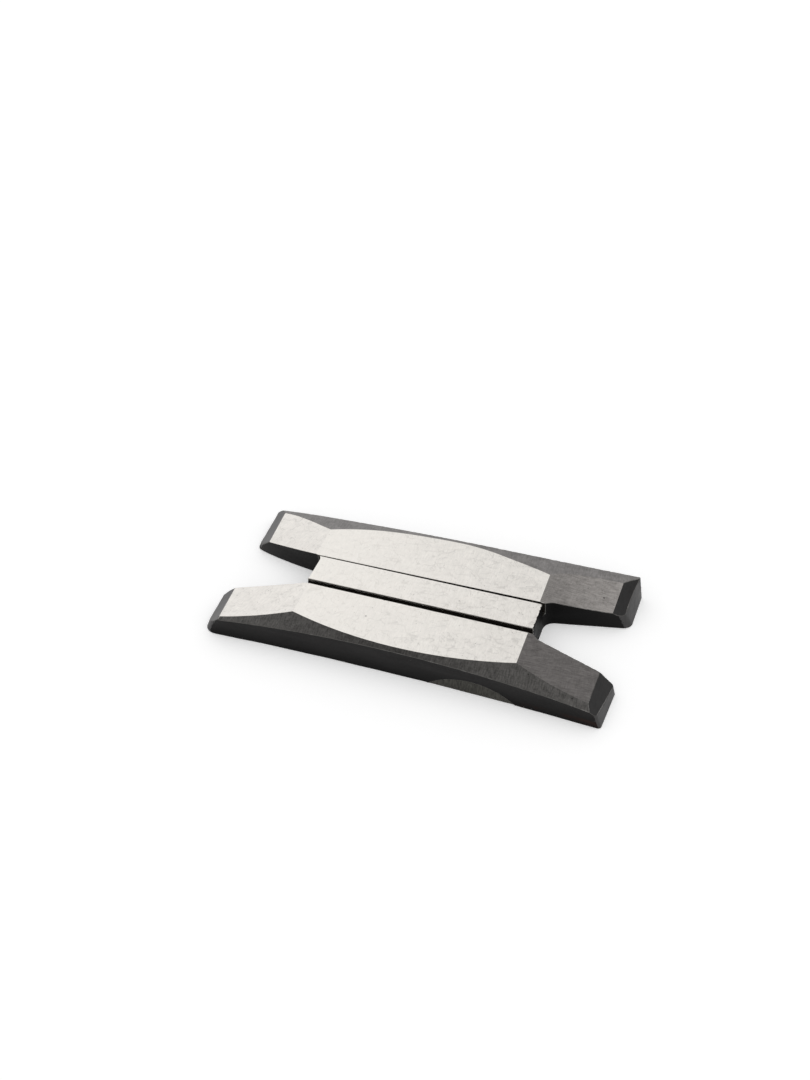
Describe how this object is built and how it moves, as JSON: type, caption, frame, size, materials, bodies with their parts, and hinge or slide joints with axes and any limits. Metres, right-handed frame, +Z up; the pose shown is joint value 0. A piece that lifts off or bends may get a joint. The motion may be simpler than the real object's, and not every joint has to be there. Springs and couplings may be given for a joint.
{
  "type": "scraper cutter",
  "caption": "Forged and ground steel scraper cutter in one piece: parallel bars with sloped ends, joined by a notched web with a raised strip between saw cuts",
  "frame": {"origin": "on the flat underside, at the middle of the block's bounding box in plan", "axes": "+X along the bars, +Y across them, +Z up from the underside through the ground tops"},
  "size_m": [0.412, 0.1962, 0.033],
  "materials": {
    "ground_steel": "hand-ground tops over dark forged sides"
  },
  "bodies": {
    "root": {"scraper_body": "ground_steel"}
  },
  "joints": []
}
